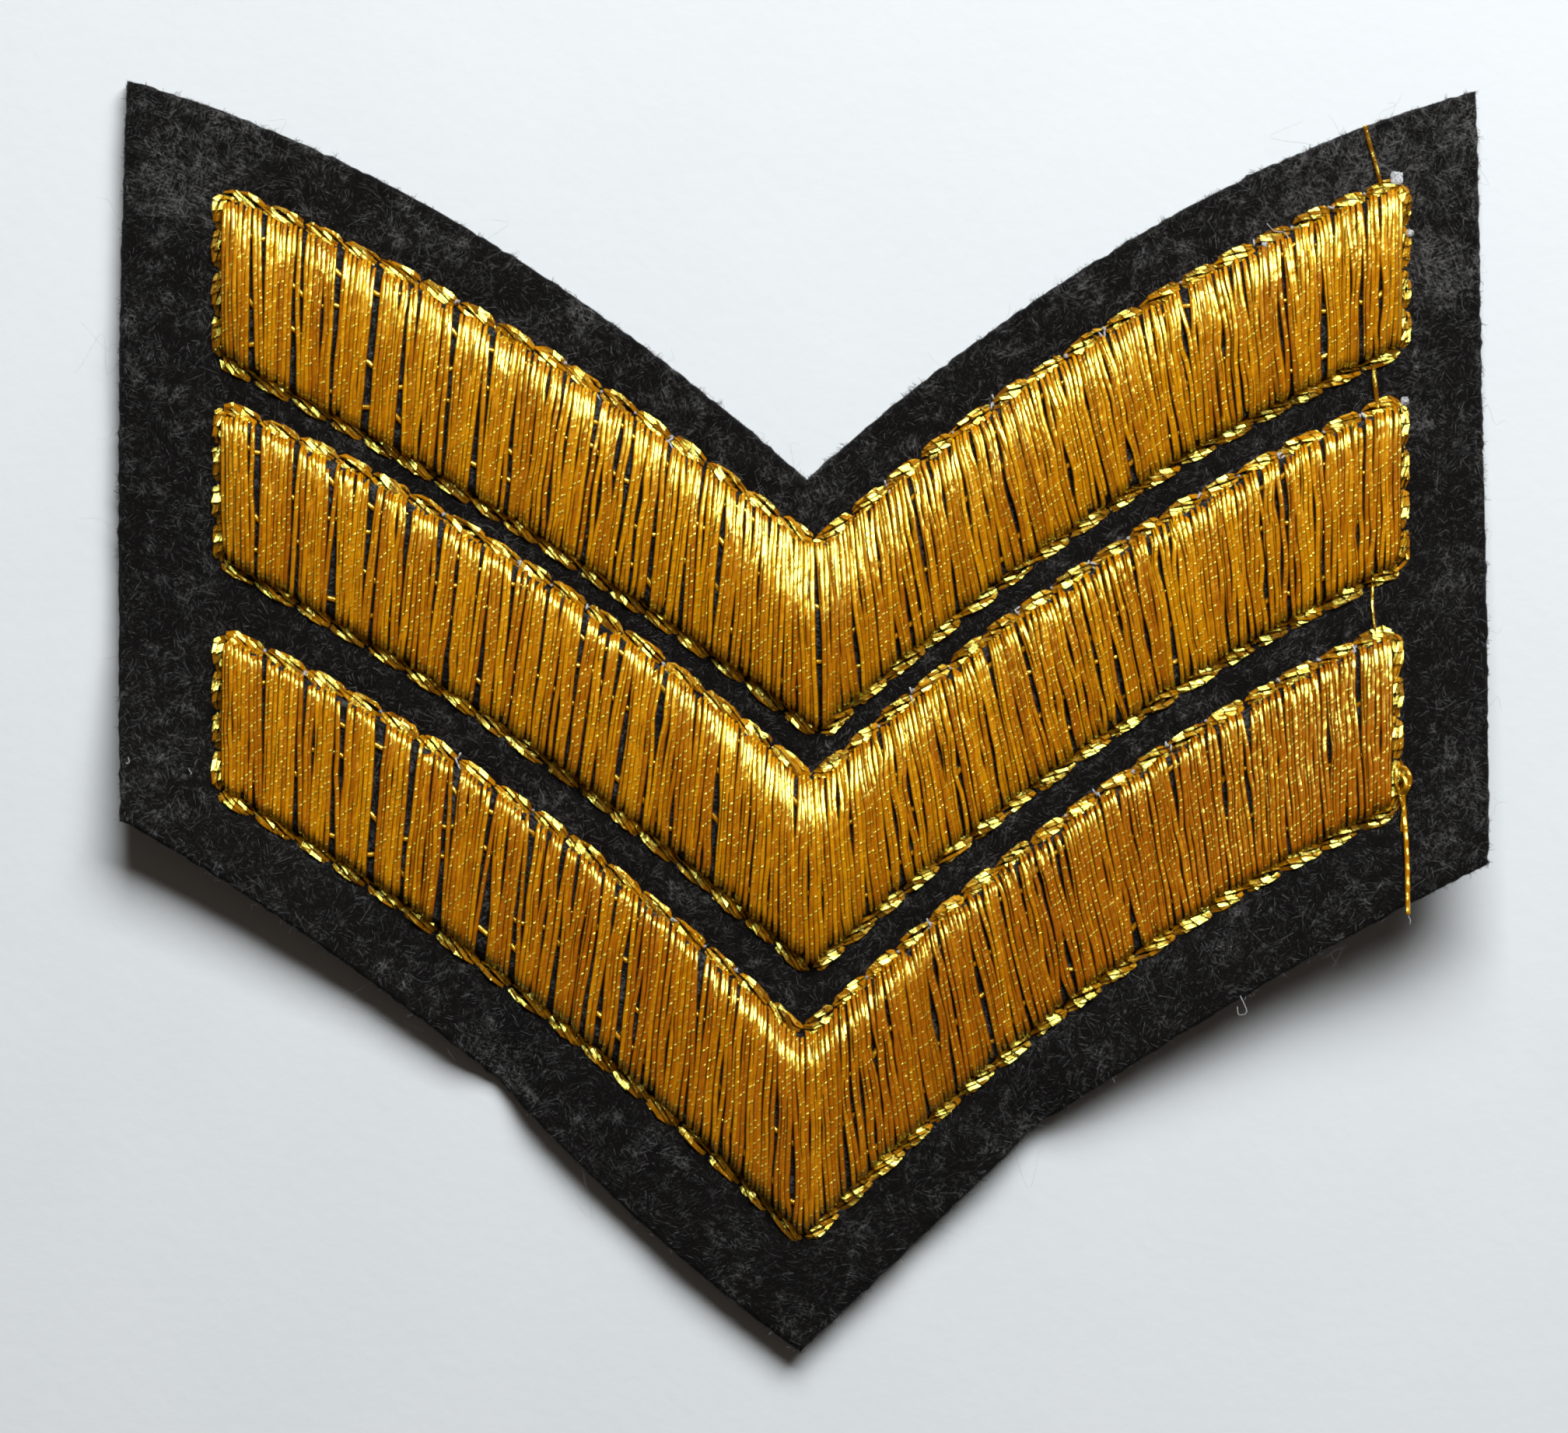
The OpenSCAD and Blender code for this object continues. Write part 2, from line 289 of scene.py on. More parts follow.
def tubes(paths, width, thick, sides, roll=0, skew=0):
    """Closed tubes of oval section along paths (tube, ring, xyz)."""
    along = unit(np.gradient(paths, axis=1))
    across = unit(np.cross(along, [0, 0, 1]))
    top = np.cross(across, along)
    width, thick, roll = (
        np.broadcast_to(a, paths.shape[:2])[..., None, None] for a in (width, thick, roll)
    )
    turn = (-math.pi / 2 + 2 * math.pi * (np.arange(sides) + 0.5) / sides)[:, None]
    a, b = np.cos(turn) * width / 2, np.sin(turn) * thick / 2
    a, b = a * np.cos(roll) - b * np.sin(roll), a * np.sin(roll) + b * np.cos(roll)
    sections = paths[:, :, None] + across[:, :, None] * a + top[:, :, None] * b
    sections = sections + along[:, :, None] * a * skew
    reach = thick[..., 0] / 3
    first = paths[:, 0] - along[:, 0] * reach[:, 0]
    last = paths[:, -1] + along[:, -1] * reach[:, -1]
    return skin(sections, first, last)


def tube_object(
    name, paths, width, thick, sides, material, tone, along=None, roll=0, skew=0, soft=True
):
    """Tubes as one object. tone is one number a tube, along the wrap's phase at each ring."""
    points, quads, tris = tubes(paths, width, thick, sides, roll, skew)
    uv = None if along is None else thread_uv(along, sides)
    tone = np.repeat(tone, len(points) // len(paths))
    return build(name, points, quads, tris, material, uv, tone, soft)


# Materials


class Graph:
    """Short calls for the nodes of one material."""

    def __init__(self, name):
        self.material = bpy.data.materials.new(name)
        self.material.use_nodes = True
        self.tree = self.material.node_tree
        self.shader = self.tree.nodes["Principled BSDF"]

    def node(self, kind, out=0, inputs=None, **settings):
        made = self.tree.nodes.new("ShaderNode" + kind)
        for key, value in settings.items():
            setattr(made, key, value)
        for key, value in (inputs or {}).items():
            self.give(made.inputs[key], value)
        return made.outputs[out]

    def give(self, socket, value):
        if isinstance(value, bpy.types.NodeSocket):
            self.tree.links.new(value, socket)
        else:
            socket.default_value = value

    def math(self, operation, a, b=0):
        return self.node("Math", inputs={0: a, 1: b}, operation=operation)

    def plus(self, *values):
        return functools.reduce(functools.partial(self.math, "ADD"), values)

    def times(self, *values):
        return functools.reduce(functools.partial(self.math, "MULTIPLY"), values)

    def apart(self, a, b):
        return self.math("ABSOLUTE", self.math("SUBTRACT", a, b))

    def step(self, value, low, high, out_low=0, out_high=1):
        """value from low to high becomes out_low to out_high, smoothly."""
        return self.node(
            "MapRange",
            inputs={0: value, 1: low, 2: high, 3: out_low, 4: out_high},
            interpolation_type="SMOOTHSTEP",
        )

    def blend(self, share, a, b):
        return self.node("Mix", out=2, inputs={0: share, 6: a, 7: b}, data_type="RGBA")

    def tone(self):
        return self.node("Attribute", out=2, attribute_name="tone")

    def where(self):
        """The place on the object, in metres."""
        return self.node("TexCoord", out=3)

    def random(self, *cell):
        """One random number for each combination of up to three numbers."""
        vector = self.node("CombineXYZ", inputs=dict(enumerate(cell)))
        return self.node("TexWhiteNoise", inputs={"Vector": vector}, noise_dimensions="3D")

    def noise(self, vector, scale, detail=2, roughness=0.5):
        inputs = {"Vector": vector, "Scale": scale, "Detail": detail, "Roughness": roughness}
        return self.node("TexNoise", inputs=inputs)

    def stretched(self, vector, turn, scale):
        """Coordinates along axes turned about Z by turn degrees, times scale."""
        lengths = [1 / s for s in scale]
        return self.node(
            "Mapping",
            inputs={"Vector": vector, "Rotation": (0, 0, math.radians(turn)), "Scale": lengths},
            vector_type="TEXTURE",
        )

    def bump(self, strength, distance, height):
        inputs = {"Strength": strength, "Distance": distance, "Height": height}
        return self.node("Bump", inputs=inputs)

    def shade(self, **inputs):
        for key, value in inputs.items():
            socket = key.replace("_", " ").title().replace("Ior", "IOR")
            self.give(self.shader.inputs[socket], value)
        return self.material


# Colour of the painted shade in the groove of the seam between turns of film
SEAM_SHADE_COLOUR = (0.13, 0.07, 0.005, 1)
# Colour of the painted shade on the sides of a thread, in the clefts between neighbours
CLEFT_SHADE_COLOUR = (0.12, 0.03, 0, 1)
# Colour of the painted glint where a film edge catches the light
GLINT_COLOUR = (1, 0.82, 0.1, 1)
METAL_TINT = (0.88, 0.96, 0.15, 1)


def metal_thread(name, deep, bright, gloss, rough, ridge, facet, crease, painted_glint, cleft_shade):
    """Metal film wound round a core: at each turn the film's edge makes a ridge with a painted
    glint (a bright dot) on it, beside a seam painted dark as shade, and the film has dull and
    bright stretches. The sides of a thread get painted shade by the share cleft_shade."""
    g = Graph(name)
    uv = g.node("UVMap", uv_map="thread")
    around, along = g.node("SeparateXYZ", out=slice(2), inputs={0: uv})
    turns = g.plus(along, around)
    pair = g.times(turns, 0.5)
    in_turn, in_pair = g.math("FRACT", turns), g.math("FRACT", pair)
    tone = g.tone()
    # Each turn of the film has its chance, and each pair of turns its tilt and its luck
    chance = g.random(g.math("FLOOR", turns), tone)
    tilt = g.random(g.math("FLOOR", pair), tone, 5)
    luck = g.random(g.math("FLOOR", pair), tone, 9)
    creased = g.noise(g.stretched(uv, 0, (5, 0.8, 1)), 1, detail=3, roughness=0.55)
    aslant = g.apart(around, 0.5)

    weaker = g.times(g.math("GREATER_THAN", in_pair, 0.5), -0.4)
    aside = g.apart(around, g.step(chance, 0.2, 1, 0.42, 0.58))
    dot = g.times(
        g.step(g.apart(in_turn, 0.5), 0.03, 0.16, 1, 0),
        g.step(aside, 0.03, 0.12, 1, 0),
        g.step(g.plus(chance, weaker), 0.15, 0.6),
    )
    # Painted shade in the seam's groove, stronger on some turns than others
    seam_shade = g.step(g.apart(in_turn, 0.3), 0.02, 0.12, 1, 0)
    seam_shade = g.times(seam_shade, g.step(chance, 0, 0.8, 0.05, 0.38))
    cloud = g.noise(g.where(), 420)
    light = g.plus(g.times(tone, 0.5), g.times(creased, 0.6), g.times(cloud, 0.3))
    colour = g.blend(g.step(light, 0.35, 1.05), (*deep, 1), (*bright, 1))
    colour = g.blend(seam_shade, colour, SEAM_SHADE_COLOUR)
    # Painted shade on the sides of each thread, where it meets its neighbours
    colour = g.blend(g.step(aslant, 0.09, 0.16, 0, cleft_shade), colour, CLEFT_SHADE_COLOUR)
    # Painted glint on the ridge at each film edge
    colour = g.blend(g.times(dot, painted_glint), colour, GLINT_COLOUR)

    fold = g.step(g.apart(in_pair, 0.5), 0, 0.5, 1, 0)
    facets = g.times(g.math("SUBTRACT", tilt, 0.5), fold)
    crumple = g.plus(g.times(facets, facet), g.times(creased, crease))
    bump = g.bump(1, ridge, g.plus(dot, crumple))
    # The shaded sides also get less coat
    film = g.step(aslant, 0.08, 0.2, 0.5, 0.5 - 0.5 * cleft_shade)
    return g.shade(
        base_color=colour,
        roughness=g.step(creased, 0.3, 0.7, rough - 0.04, rough + 0.06),
        ior=gloss,
        specular_tint=METAL_TINT,
        normal=bump,
        coat_weight=g.times(film, g.step(luck, 0.15, 0.6, 0.25, 1.25)),
        coat_roughness=0.14,
        coat_ior=1.6,
        coat_normal=bump,
    )


def plain_thread(name, dark, light, scale):
    """Matt spun thread or fibre, lighter and darker along its length."""
    g = Graph(name)
    cloud = g.noise(g.where(), scale, detail=3)
    share = g.times(g.step(cloud, 0.25, 0.75, 0.6, 1.2), g.tone())
    return g.shade(
        base_color=g.blend(share, (*dark, 1), (*light, 1)),
        roughness=0.75,
        normal=g.bump(0.5, 0.00002, cloud),
        sheen_weight=0.15,
        sheen_roughness=0.4,
    )


FIBRE_TURNS = (-20, 25, 70, 115)
FELT_DARK = (0.0036, 0.003, 0.0026, 1)
FELT_PALE = (0.11, 0.106, 0.103, 1)


def felt_material(name):
    """Needled black felt: matted fibres that run in patches, dusty where they stand up."""
    g = Graph(name)
    where = g.where()
    strands = []
    for turn in FIBRE_TURNS:
        patch = g.noise(g.stretched(where, 3 * turn, (1, 1, 1)), 500)
        line = g.noise(g.stretched(where, turn, (1, 0.2, 1)), 7000, roughness=0.6)
        strands.append(g.times(g.step(line, 0.46, 0.72), g.step(patch, 0.38, 0.64, 0.2, 0.9)))
    matted = g.step(g.noise(where, 5000, detail=3, roughness=0.7), 0.45, 0.75)
    clump = g.step(g.noise(where, 900), 0.35, 0.68, 0.6, 1.2)
    fluff = g.step(g.tone(), 0, 2.5, 0.6, 2.2)
    haze = g.times(g.math("SUBTRACT", fluff, 1), 0.25)
    light = g.plus(*strands, g.times(matted, 0.35))
    light = g.plus(g.times(light, clump, fluff), haze)
    return g.shade(
        base_color=g.blend(g.step(light, 0.1, 2.3), FELT_DARK, FELT_PALE),
        roughness=0.95,
        normal=g.bump(0.8, 0.00008, light),
        sheen_weight=0.05,
        sheen_roughness=0.5,
        specular_ior_level=0.1,
    )


PAPER_GREY = (0.80, 0.835, 0.85, 1)
PAPER_PALE = (0.82, 0.85, 0.862, 1)


def paper_material(name):
    g = Graph(name)
    where = g.where()
    cloud = g.noise(where, 60, detail=4, roughness=0.6)
    grain = g.noise(where, 900, detail=3)
    return g.shade(
        base_color=g.blend(g.step(cloud, 0.3, 0.7), PAPER_GREY, PAPER_PALE),
        roughness=0.9,
        normal=g.bump(0.35, 0.00005, grain),
        specular_ior_level=0.2,
    )


gold_satin = metal_thread(
    "gold satin thread",
    deep=(0.54, 0.132, 0),
    bright=(0.97, 0.38, 0),
    gloss=3.4,
    rough=0.22,
    ridge=0.000034,
    facet=2.3,
    crease=0.3,
    painted_glint=0.95,
    cleft_shade=0.85,
)
gold_edge = metal_thread(
    "gold edge thread",
    deep=(0.24, 0.06, 0),
    bright=(0.78, 0.28, 0),
    gloss=3.9,
    rough=0.23,
    ridge=0.00004,
    facet=1,
    crease=0.9,
    painted_glint=0.25,
    cleft_shade=0.15,
)
bobbin = plain_thread("grey bobbin thread", (0.4, 0.4, 0.41), (0.95, 0.96, 0.98), 3000)
felt_fibre = plain_thread("felt fibre", (0.005, 0.0043, 0.0039), (0.5, 0.5, 0.506), 1500)
felt_cloth = felt_material("black felt")
paper = paper_material("pale paper")

def ride(obj, slot, *nodes):
    """Puts a piece on the only body and hides the CAD nodes that it replaces. slot is not used."""
    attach(obj, "root")
    if nodes:
        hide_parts(*nodes)
    return obj


# Felt backing

# How much the felt's face heaves, in wide swells and in small lumps
UNEVEN = 0.05
LUMPY = 0.02
# How ragged the cut edge is, and how far in that reaches
RAGGED = 0.035
RAGGED_REACH = 0.2
# The stitching pulls in a groove, deepest a little inside the bar's outline
GROOVE_DEPTH = 0.22
GROOVE_REACH = 0.55
GROOVE_INSIDE = 0.2
uneven = waves(11, 5, 14)
lumps = waves(12, 0.9, 2.5)
ragged_x = waves(13, 0.6, 1.6)
ragged_y = waves(14, 0.6, 1.6)


def felt_skin(x, y):
    """The felt's upper face with its unevenness and the groove that the stitching pulls in."""
    z = felt_top(x, y) + UNEVEN * uneven(x, y) + LUMPY * lumps(x, y)
    for bar in BARS.values():
        off = (outside(bar, x, y) + GROOVE_INSIDE) / GROOVE_REACH
        z = z - GROOVE_DEPTH * np.exp(-(off**2))
    return z


def felt_xy(share, v):
    """Where the felt's column (share from -1 to 1) and row (v from 0 to 1) meet."""
    low, top = FELT_LOW_EDGE, FELT_TOP_EDGE
    left, far = share < 0, np.abs(share)
    x_low = far * np.where(left, low[0][0], low[-1][0])
    x_top = mix(top[1][0], np.where(left, top[0][0], top[2][0]), far)
    bow = 4 * v * (1 - v) * far**BOW_FADE * np.where(left, -BOW_LEFT, BOW_RIGHT)
    y = mix(edge_y(low, x_low), edge_y(top, x_top), v)
    return mix(x_low, x_top, v) + bow, y


# Distances of the mesh's outer lines from the edge, and its lines between the knots
RIM_STEPS = np.array([0, 0.05, 0.14, 0.27, 0.42])
COLUMNS = [58, 50, 38, 68]
ROWS = 112
MEAN_HALF_WIDTH = 43.6
MEAN_COLUMN = 50
UNDER_RIM = 0.15
UNDER_FLUFF = 0.6


def felt_backing():
    """The felt as one closed mesh, and the outline of its upper face."""
    rim = RIM_STEPS / MEAN_HALF_WIDTH
    left, right = -FELT_LOW_EDGE[0][0], FELT_LOW_EDGE[-1][0]
    knots = [-1 + rim[-1], LEFT_NOTCH[0] / left, 0, RIGHT_NOTCH[0] / right, 1 - rim[-1]]
    inner = [
        np.linspace(a, b, n, endpoint=False) for a, b, n in zip(knots, knots[1:], COLUMNS)
    ]
    columns = np.concatenate([-1 + rim[:-1], *inner, 1 - rim[::-1]])
    edge = RIM_STEPS / MEAN_COLUMN
    inner = np.linspace(edge[-1], 1 - edge[-1], ROWS)
    rows = np.concatenate([edge[:-1], inner, 1 - edge[-2::-1]])
    share, v = np.meshgrid(columns, rows, indexing="ij")
    x, y = felt_xy(share, v)
    from_side = (1 - np.abs(share)) * MEAN_HALF_WIDTH
    inward = np.minimum(from_side, np.minimum(v, 1 - v) * MEAN_COLUMN)
    loose = RAGGED * np.exp(-inward / RAGGED_REACH)
    x = x + loose * ragged_x(x, y)
    y = y + loose * ragged_y(x, y)
    z_top = felt_skin(x, y) - rounding(inward, FELT_RIM)
    z_low = lift(x, y) + rounding(inward, UNDER_RIM)
    upper = np.stack([x, y, z_top], -1).reshape(-1, 3)
    lower = np.stack([x, y, z_low], -1).reshape(-1, 3)
    k = np.arange(x.size).reshape(x.shape)
    a, b, c, d = k[:-1, :-1], k[1:, :-1], k[1:, 1:], k[:-1, 1:]
    top = np.stack([a, b, c, d], -1).reshape(-1, 4)
    bottom = np.stack([a, d, c, b], -1).reshape(-1, 4) + x.size
    ring = np.concatenate([k[:, 0], k[-1, 1:], k[-2::-1, -1], k[0, -2:0:-1]])
    after = np.roll(ring, -1)
    wall = np.stack([ring + x.size, after + x.size, after, ring], -1)
    obj = build(
        "felt",
        np.concatenate([upper, lower]),
        np.concatenate([top, bottom, wall]),
        NO_TRIS,
        felt_cloth,
        tone=np.concatenate([dusty(x, y).ravel(), np.full(x.size, UNDER_FLUFF)]),
    )
    return obj, upper[ring]


# Dusty places, with the columns x, y, reach and strength
DUSTY = [
    [41.7, -5.3, 3, 0.8],
    [-41, -3.3, 2.5, 0.6],
    [41, 28, 2.5, 0.6],
    [40.6, 22, 2.5, 0.5],
    [42.1, 8.7, 2.5, 0.6],
    [36.5, 35.5, 7, 0.9],
    [-38, 36.5, 5, 0.6],
    [0.5, 13.5, 3, 0.7],
    [-19.4, -22.5, 2.5, 0.7],
    [15.1, -25.5, 2.5, 0.7],
]
# The felt is lighter towards its top
BRIGHT_Y = [-12, 12, 28]
BRIGHT = [0.45, 0.4, 0.75]
# Fluff gathers in drifts and in small clumps
DRIFTED = 0.2
CLUMPED = 0.25
drifts = waves(22, 3, 11)
clumps = waves(23, 0.8, 2.4)


def dusty(x, y):
    """How much pale fluff the felt's face has, mostly from 0 to 2."""
    total = np.interp(y, BRIGHT_Y, BRIGHT) + DRIFTED * drifts(x, y) + CLUMPED * clumps(x, y)
    for x_spot, y_spot, reach, strength in DUSTY:
        total = total + strength * np.exp(-((np.hypot(x - x_spot, y - y_spot) / reach) ** 2))
    return np.clip(total, 0.05, 2.5)


# The fibres lie straighter and darker towards the bottom point
CALM_Y = [-36, -15]
CALM = [0.25, 1]
# How far fibres may lie under a bar, and how deep they sink in
FIBRE_UNDER = 0.25
FIBRE_SINK = 0.015
direction = waves(21, 2, 7)


def lay_fibres(name, count, seed, typical):
    """Short fibres that lie matted on the felt's face, with their ends drawn in."""
    dice = np.random.default_rng(seed)
    x, y = felt_xy(dice.uniform(-0.995, 0.995, count * 4), dice.uniform(0.004, 0.996, count * 4))
    off_bars = np.min([outside(bar, x, y) for bar in BARS.values()], axis=0)
    keep = off_bars > -FIBRE_UNDER
    x, y = x[keep][:count, None], y[keep][:count, None]
    each = x.shape
    calm = np.interp(y, CALM_Y, CALM)
    angle = 1.5 * calm * direction(x, y) + dice.normal(0, 0.3, each)
    length = np.clip(dice.lognormal(math.log(typical), 0.45, each), 0.15, 1.3)
    bend = dice.normal(0, 0.03, each) * length
    t = np.array([0, 1])
    run = (t - 0.5) * length
    sway = (4 * (t - 0.5) ** 2 - 0.5) * bend
    px = x + run * np.cos(angle) - sway * np.sin(angle)
    py = y + run * np.sin(angle) + sway * np.cos(angle)
    rise = dice.uniform(0.02, 0.07, each) * np.sin(math.pi * (0.2 + 0.6 * t))
    pz = felt_skin(px, py) + rise - FIBRE_SINK
    wide = dice.uniform(0.011, 0.018, each) * (1 - 0.5 * np.abs(2 * t - 1))
    tone = 2.4 * dice.uniform(0, 1, each) ** 4.5 * (0.4 + dusty(x, y)) * (0.5 + 0.5 * calm)
    tone = np.clip(tone, 0, 1.4)
    paths = np.stack([px, py, pz], -1)
    return tube_object(name, paths, wide, wide, 3, felt_fibre, tone)


# Stray fibres stay this far above the floor
LEAST_Z = 0.05


def rim_fibres(name, outline, count, long_count, seed):
    """Short fuzz all round the cut edge, and a few long stray hairs."""
    dice = np.random.default_rng(seed)
    ahead = np.roll(outline, -1, axis=0)
    total = np.cumsum(np.linalg.norm((ahead - outline)[:, :2], axis=1))

    def make(tufts, each, reach, rings, thick, spread, curl):
        tuft = np.repeat(np.arange(tufts), each)
        s = dice.uniform(0, total[-1], tufts)[tuft, None]
        strength = dice.lognormal(0, 0.4, tufts)[tuft, None]
        heading = dice.normal(0, spread, tufts)[tuft, None]
        size = s.shape
        s = np.mod(s + dice.normal(0, 0.07, size), total[-1])
        i = np.searchsorted(total, s[:, 0])
        p = mix(outline[i], ahead[i], dice.uniform(0, 1, size))
        along = unit((ahead[i] - outline[i])[:, :2])
        out = np.stack([along[:, 1], -along[:, 0]], -1)
        heading = heading + dice.normal(0, 0.4, size)
        far = out * np.cos(heading) + along * np.sin(heading)
        wide = np.stack([-far[:, 1], far[:, 0]], -1)
        length = dice.lognormal(math.log(reach), 0.35, size) * strength
        length = np.clip(length, 0.08, reach * 2.6)
        t = np.linspace(0, 1, rings)
        bend = dice.normal(0, curl, size) * length
        swirl = dice.normal(0, curl * 0.5, size) * length
        aside = bend * t**2 + swirl * np.sin(2.5 * math.pi * t)
        flat = (p[:, :2] - far * 0.08)[:, None] + far[:, None] * t[:, None] * length[..., None]
        flat = flat + wide[:, None] * aside[..., None]
        height = dice.uniform(-0.9, 0.12, size)
        droop = dice.normal(0, 0.25, size) * length * t**2
        z = np.maximum(p[:, 2:3] + height + droop, LEAST_Z)
        paths = np.concatenate([flat, z[..., None]], -1)
        taper = thick * (1 - 0.5 * t**2)
        return tubes(paths, taper, taper, 3), len(tuft)

    parts = [
        make(count, each=6, reach=0.17, rings=3, thick=0.042, spread=0.8, curl=0.4),
        make(long_count, each=1, reach=1.1, rings=10, thick=0.013, spread=0.7, curl=0.8),
    ]
    pieces, offset = [], 0
    for (p, q, t), number in parts:
        tone = np.repeat(dice.uniform(0.1, 0.8, number), len(p) // number)
        pieces.append((p, q + offset, t + offset, tone))
        offset += len(p)
    points, quads, tris, tone = map(np.concatenate, zip(*pieces))
    return build(name, points, quads, tris, felt_fibre, tone=tone)


felt, felt_outline = felt_backing()
ride(felt, "black_felt", "felt_backing")
fuzz = [
    ride(lay_fibres("felt_fibres_1", 14200, 31, 0.42), "black_felt"),
    ride(lay_fibres("felt_fibres_2", 14500, 32, 0.24), "black_felt"),
    ride(rim_fibres("felt_rim_fibres", felt_outline, 600, 70, 33), "black_felt"),
]


# Border stitches

# Length of thread in one turn of its film
WRAP = 0.48
STITCH = 2.75
STRANDS = 7
STRAND_W = 0.35
STRAND_T = 0.09
SKEW = 0.6
ROPE_W = 0.76
ROPE_H = 0.34
# Turns of the strands round each other in one stitch
PLY = 0.45
# How much a strip's tilt follows its place on the rope
ROUND = 0.25
# How far the creases of a strip turn it
CREASED = 0.2
# Way that a strip faces when it shines
SHINY = unit(np.array([0.13, 0.39, 0.91]))
# A strip has flat faces with narrow creases between them
FACES = 4
CREASE_HALF = 0.012
# How far a strip may pass its needle points, and how deep it dives there
OVERRUN = 0.3
DIVE = 0.36
STITCH_UNEVEN = 0.07
CORNER_POINTS = 12
LINE_STEP = 0.1


def border_line(bar):
    """The closed middle line of a border, and the places on it of its corners and points."""
    d, r = BORDER_W / 2, BORDER_CORNER
    left, right = bar_ends(bar, d)
    top_x, low_x = bar[UPPER][1][0], bar[LOWER][1][0]

    def on_line(side, x):
        return np.stack([x, inset_y(bar, side, x, d)], -1)

    def run(side, first, last):
        return on_line(side, np.linspace(first, last, int(abs(last - first) / LINE_STEP) + 2))

    def corner(side, x_end, inward):
        a, c = on_line(side, x_end + inward), on_line(side, x_end)
        b = c + [0, -r if side == UPPER else r]
        t = np.linspace(0, 1, CORNER_POINTS)[:, None]
        return (1 - t) ** 2 * a + 2 * t * (1 - t) * c + t**2 * b

    pieces = [
        run(UPPER, left + r, top_x)[:-1],
        run(UPPER, top_x, right - r)[:-1],
        corner(UPPER, right, -r),
        corner(LOWER, right, -r)[::-1],
        run(LOWER, right - r, low_x)[1:-1],
        run(LOWER, low_x, left + r)[:-1],
        corner(LOWER, left, r),
        corner(UPPER, left, r)[::-1][:-1],
    ]
    starts = np.cumsum([0] + [len(p) for p in pieces])
    starts[[2, 3, 6, 7]] += CORNER_POINTS // 2
    return np.concatenate(pieces), starts[[1, 2, 3, 5, 6, 7]]


def border_needles(bar, seed):
    """Arc lengths of the needle points round a border, and a function for the places between."""
    dice = np.random.default_rng(seed)
    line, anchors = border_line(bar)
    closed = np.concatenate([line, line[:1]])
    arc = run_length(closed[None])[0]
    total = arc[-1]
    marks = [*arc[anchors], arc[anchors[0]] + total]
    needles = []
    for a, b in zip(marks, marks[1:]):
        n = max(1, round((b - a) / STITCH))
        steps = 1 + STITCH_UNEVEN * dice.normal(0, 1, n)
        needles.extend(a + (b - a) * np.concatenate([[0], np.cumsum(steps)[:-1]]) / steps.sum())
    needles.append(marks[-1])

    def at(s):
        s = np.mod(s, total)
        return np.stack([np.interp(s, arc, column) for column in closed.T], -1)

    return np.array(needles), at


def border(name, needles, at, seed):
    """Stitches of flat strips twisted round each other, each one drawn in where it enters."""
    dice = np.random.default_rng(seed)
    creases = np.linspace(0, 1, FACES + 1)
    t = np.sort(np.concatenate([creases[:-1] + CREASE_HALF, creases[1:] - CREASE_HALF]))
    spread = 0.45 + 0.55 * np.sin(math.pi * t) ** 0.5
    strips = []
    for a, b in zip(needles, needles[1:]):
        size = dice.uniform(0.88, 1.12)
        start = dice.uniform(0, 1)
        ply = PLY * dice.uniform(0.6, 1.4)
        for k in range(STRANDS):
            first, last = a - dice.uniform(0, OVERRUN), b + dice.uniform(0, OVERRUN)
            p, ahead = (at(mix(first, last, t) + step) for step in (0, 0.05))
            tangent = unit(ahead - p)
            out = np.stack([-tangent[:, 1], tangent[:, 0]], -1)
            turn = 2 * math.pi * (start + k / STRANDS - ply * t + dice.normal(0, 0.04))
            shine = np.arcsin(out @ SHINY[:2])
            across = ROPE_W / 2 * size * spread * np.cos(turn)
            flat = p - out * across[:, None]
            rise = ROPE_H * (0.55 + 0.45 * np.sin(turn)) * size * spread
            sunk = DIVE * (1 - np.sin(math.pi * t) ** 0.7)
            pitch = -0.6 * (tangent @ SHINY[:2]) + dice.normal(0, 0.5 * CREASED, FACES).repeat(2)
            z = felt_skin(flat[:, 0], flat[:, 1]) + 0.02 + rise - sunk
            z = z + pitch * np.tile([-0.5, 0.5], FACES) * (last - first) / FACES
            tone = dice.uniform(0, 1)
            tilt = dice.normal(0, 0.5 * CREASED) + dice.normal(0, CREASED, FACES)
            roll = shine - ROUND * np.cos(turn) + np.repeat(tilt, 2)
            wide = STRAND_W * dice.uniform(0.55, 1.25) * (0.7 + 0.3 * spread)
            strips.append((np.column_stack([flat, z]), tone, roll, wide))
    paths, tone, roll, wide = map(np.array, zip(*strips))
    along = run_length(paths) / WRAP + dice.uniform(0, 1, len(paths))[:, None]
    return tube_object(
        name, paths, wide, STRAND_T, 4, gold_edge, tone, along, roll, SKEW, soft=False
    )


# Satin bars

WRAP_SLOPE = 0.84
THREAD_W = 0.38
THREAD_T = 0.1
SATIN_INSET = 0.6
PITCH_X = [-12, 8]
PITCH = [0.285, 0.25]
LEAN_X = [-37, -27, -12, -3, 0, 6, 15, 21, 27, 33, 38]
LEAN = [0, -4, -6.5, -3, 0.5, 6, 10.5, 9, 5, 2, -1]
GAP_X = [-38, -22, -8, 0, 10, 39]
GAP_WIDE = [0.46, 0.42, 0.28, 0.12, 0.16, 0.24]
# On the arms the satin rounds off near its upper edge: shares of its height that fall away
# at its end, towards it and all over. At the point it slopes evenly from the edge instead.
FALL_X = [0, 10, 24]
FALL_END = [0.26, 0.3, 0.34]
FALL_NEAR = [0.46, 0.42, 0.36]
FALL_POWER = 16
